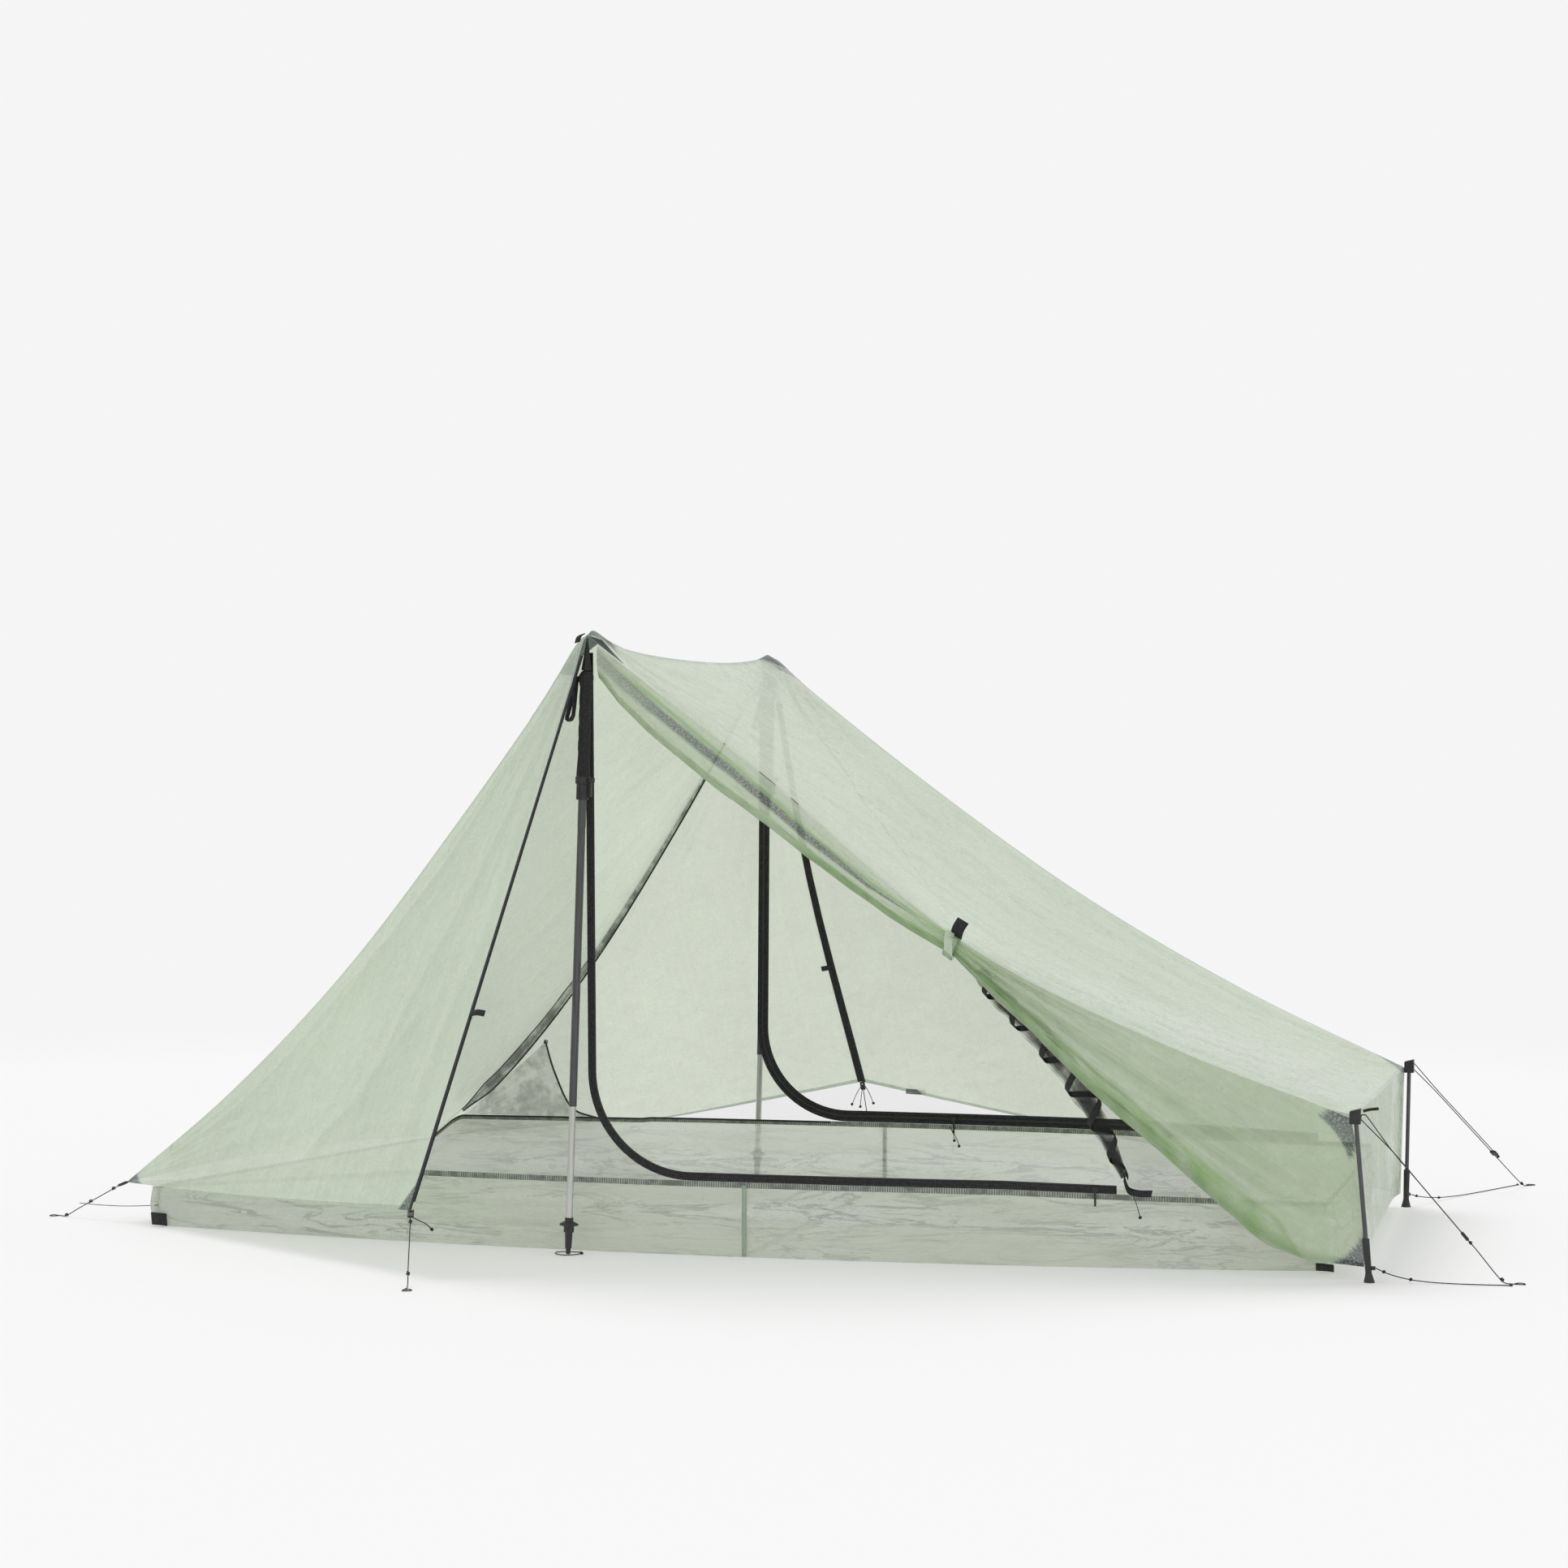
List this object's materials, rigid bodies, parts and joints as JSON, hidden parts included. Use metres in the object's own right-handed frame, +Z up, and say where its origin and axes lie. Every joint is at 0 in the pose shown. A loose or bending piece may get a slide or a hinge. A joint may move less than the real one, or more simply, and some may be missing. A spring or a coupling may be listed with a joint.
{
  "type": "tarp tent",
  "caption": "Light tarp tent on trekking poles and short struts, with a bathtub floor, netting doors and a rolled near door.",
  "frame": {"origin": "on the ground midway between the two poles, at the underside of the bathtub floor", "axes": "+X towards the foot end, +Y towards the far side with the closed door, +Z up"},
  "size_m": [3.0531, 2.1252, 1.2035],
  "materials": {
    "bathtub_floor": "translucent laminate",
    "door_tie_strap": "translucent laminate, fine crinkles",
    "far_door_panel": "translucent laminate, fine crinkles",
    "far_foot_adjuster": "satin",
    "far_foot_cord": "braided",
    "far_ground_cord": "braided",
    "far_inner_slider": "satin",
    "far_inner_zip": "woven tape",
    "far_mesh_door": "fine netting",
    "far_mesh_wall": "fine netting",
    "far_outer_slider": "satin",
    "far_outer_zip": "woven tape",
    "far_peak_cup": "woven",
    "far_peak_patch": "fibre-reinforced patch",
    "far_pole_clamp": "satin",
    "far_pole_grip": "matt foam",
    "far_pole_handle_tube": "satin composite",
    "far_pole_lever": "satin",
    "far_pole_lower_tube": "satin",
    "far_pole_middle_tube": "satin composite",
    "far_pole_strap": "woven",
    "far_pole_tip": "satin",
    "far_strut": "satin composite",
    "far_strut_cap": "satin",
    "far_strut_sleeve": "satin",
    "far_vestibule_buckle": "satin",
    "far_vestibule_cord": "braided",
    "far_vestibule_panel": "translucent laminate, fine crinkles",
    "fly_foot_panel": "translucent laminate, fine crinkles",
    "fly_head_panel": "translucent laminate, fine crinkles",
    "foot_end_wall": "translucent laminate, fine crinkles",
    "head_floor_cord": "braided",
    "head_mesh_strip": "fine netting",
    "near_door_panel": "translucent laminate, fine crinkles",
    "near_foot_adjuster": "satin",
    "near_foot_cord": "braided",
    "near_ground_cord": "braided",
    "near_head_buckle": "satin",
    "near_head_cord": "braided",
    "near_inner_slider": "satin",
    "near_inner_zip": "woven tape",
    "near_mesh_door": "fine netting",
    "near_mesh_wall": "fine netting",
    "near_outer_zip": "woven tape",
    "near_peak_cup": "woven",
    "near_peak_patch": "fibre-reinforced patch",
    "near_pole_clamp": "satin",
    "near_pole_grip": "matt foam",
    "near_pole_handle_tube": "satin composite",
    "near_pole_lever": "satin",
    "near_pole_lower_tube": "satin",
    "near_pole_middle_tube": "satin composite",
    "near_pole_strap": "woven",
    "near_pole_tip": "satin",
    "near_strut": "satin composite",
    "near_strut_cap": "satin",
    "near_strut_sleeve": "satin",
    "near_vestibule_buckle": "satin",
    "near_vestibule_cord": "braided",
    "near_vestibule_panel": "translucent laminate, fine crinkles"
  },
  "bodies": {
    "shelter": {"bathtub_floor": "bathtub_floor", "door_tie_strap": "door_tie_strap", "far_foot_cord": "far_foot_cord", "far_ground_cord": "far_ground_cord", "far_inner_zip": "far_inner_zip", "far_mesh_door": "far_mesh_door", "far_mesh_wall": "far_mesh_wall", "far_outer_zip": "far_outer_zip", "far_peak_cup": "far_peak_cup", "far_peak_patch": "far_peak_patch", "far_pole_clamp": "far_pole_clamp", "far_pole_grip": "far_pole_grip", "far_pole_handle_tube": "far_pole_handle_tube", "far_strut": "far_strut", "far_strut_cap": "far_strut_cap", "far_strut_sleeve": "far_strut_sleeve", "far_vestibule_buckle": "far_vestibule_buckle", "far_vestibule_cord": "far_vestibule_cord", "far_vestibule_panel": "far_vestibule_panel", "fly_foot_panel": "fly_foot_panel", "fly_head_panel": "fly_head_panel", "foot_end_wall": "foot_end_wall", "head_floor_cord": "head_floor_cord", "head_mesh_strip": "head_mesh_strip", "near_door_panel": "near_door_panel", "near_foot_cord": "near_foot_cord", "near_ground_cord": "near_ground_cord", "near_head_buckle": "near_head_buckle", "near_head_cord": "near_head_cord", "near_inner_zip": "near_inner_zip", "near_mesh_door": "near_mesh_door", "near_mesh_wall": "near_mesh_wall", "near_outer_zip": "near_outer_zip", "near_peak_cup": "near_peak_cup", "near_peak_patch": "near_peak_patch", "near_pole_clamp": "near_pole_clamp", "near_pole_grip": "near_pole_grip", "near_pole_handle_tube": "near_pole_handle_tube", "near_strut": "near_strut", "near_strut_cap": "near_strut_cap", "near_strut_sleeve": "near_strut_sleeve", "near_vestibule_buckle": "near_vestibule_buckle", "near_vestibule_cord": "near_vestibule_cord", "near_vestibule_panel": "near_vestibule_panel"},
    "near_pole_mid_section": {"near_pole_middle_tube": "near_pole_middle_tube"},
    "near_pole_low_section": {"near_pole_lower_tube": "near_pole_lower_tube", "near_pole_tip": "near_pole_tip"},
    "near_lever": {"near_pole_lever": "near_pole_lever"},
    "near_strap": {"near_pole_strap": "near_pole_strap"},
    "far_pole_mid_section": {"far_pole_middle_tube": "far_pole_middle_tube"},
    "far_pole_low_section": {"far_pole_lower_tube": "far_pole_lower_tube", "far_pole_tip": "far_pole_tip"},
    "far_lever": {"far_pole_lever": "far_pole_lever"},
    "far_strap": {"far_pole_strap": "far_pole_strap"},
    "near_door_slider": {"near_inner_slider": "near_inner_slider"},
    "far_door_slider": {"far_inner_slider": "far_inner_slider"},
    "vestibule_slider": {"far_outer_slider": "far_outer_slider"},
    "near_adjuster": {"near_foot_adjuster": "near_foot_adjuster"},
    "far_adjuster": {"far_foot_adjuster": "far_foot_adjuster"},
    "far_door": {"far_door_panel": "far_door_panel"}
  },
  "joints": [
    {"name": "near_middle_tube_slide", "type": "slide", "parent": "shelter", "child": "near_pole_mid_section", "axis": [0.0333, 0, 0.9994], "range_m": [0, 0.17]},
    {"name": "near_lower_tube_slide", "type": "slide", "parent": "near_pole_mid_section", "child": "near_pole_low_section", "axis": [0.0333, 0, 0.9994], "range_m": [0, 0.2]},
    {"name": "far_middle_tube_slide", "type": "slide", "parent": "shelter", "child": "far_pole_mid_section", "axis": [0.0325, -0.0167, 0.9993], "range_m": [0, 0.17]},
    {"name": "far_lower_tube_slide", "type": "slide", "parent": "far_pole_mid_section", "child": "far_pole_low_section", "axis": [0.0325, -0.0167, 0.9993], "range_m": [0, 0.2]},
    {"name": "near_lever_hinge", "type": "hinge", "parent": "shelter", "child": "near_lever", "pos_m": [0.04953, -0.615, 0.92156], "axis": [0, -1, 0], "range_deg": [0, 120]},
    {"name": "far_lever_hinge", "type": "hinge", "parent": "shelter", "child": "far_lever", "pos_m": [0.07576, 0.61963, 0.92148], "axis": [-0.0005, -0.9999, -0.0166], "range_deg": [0, 120]},
    {"name": "near_strap_hinge", "type": "hinge", "parent": "shelter", "child": "near_strap", "pos_m": [0.02051, -0.615, 1.12238], "axis": [0, 1, 0], "range_deg": [0, 15]},
    {"name": "far_strap_hinge", "type": "hinge", "parent": "shelter", "child": "far_strap", "pos_m": [0.04657, 0.6163, 1.12225], "axis": [0, 1, 0], "range_deg": [0, 10]},
    {"name": "near_door_slider_slide", "type": "slide", "parent": "shelter", "child": "near_door_slider", "axis": [0.9937, 0.1094, -0.0249], "range_m": [-0.15, 0.02]},
    {"name": "far_door_slider_slide", "type": "slide", "parent": "shelter", "child": "far_door_slider", "axis": [0.9999, -0.0155, 0], "range_m": [-0.14, 0.015]},
    {"name": "vestibule_slider_slide", "type": "slide", "parent": "shelter", "child": "vestibule_slider", "axis": [-0.173, -0.3087, 0.9353], "range_m": [0, 0.1]},
    {"name": "near_adjuster_slide", "type": "slide", "parent": "shelter", "child": "near_adjuster", "axis": [-0.6403, -0.0945, 0.7623], "range_m": [0, 0.14]},
    {"name": "far_adjuster_slide", "type": "slide", "parent": "shelter", "child": "far_adjuster", "axis": [-0.3876, -0.743, 0.5456], "range_m": [0, 0.14]},
    {"name": "far_door_hinge", "type": "hinge", "parent": "shelter", "child": "far_door", "pos_m": [0.066, 0.615, 1.2], "axis": [0.8478, -0.0553, -0.5274], "range_deg": [0, 50]}
  ]
}
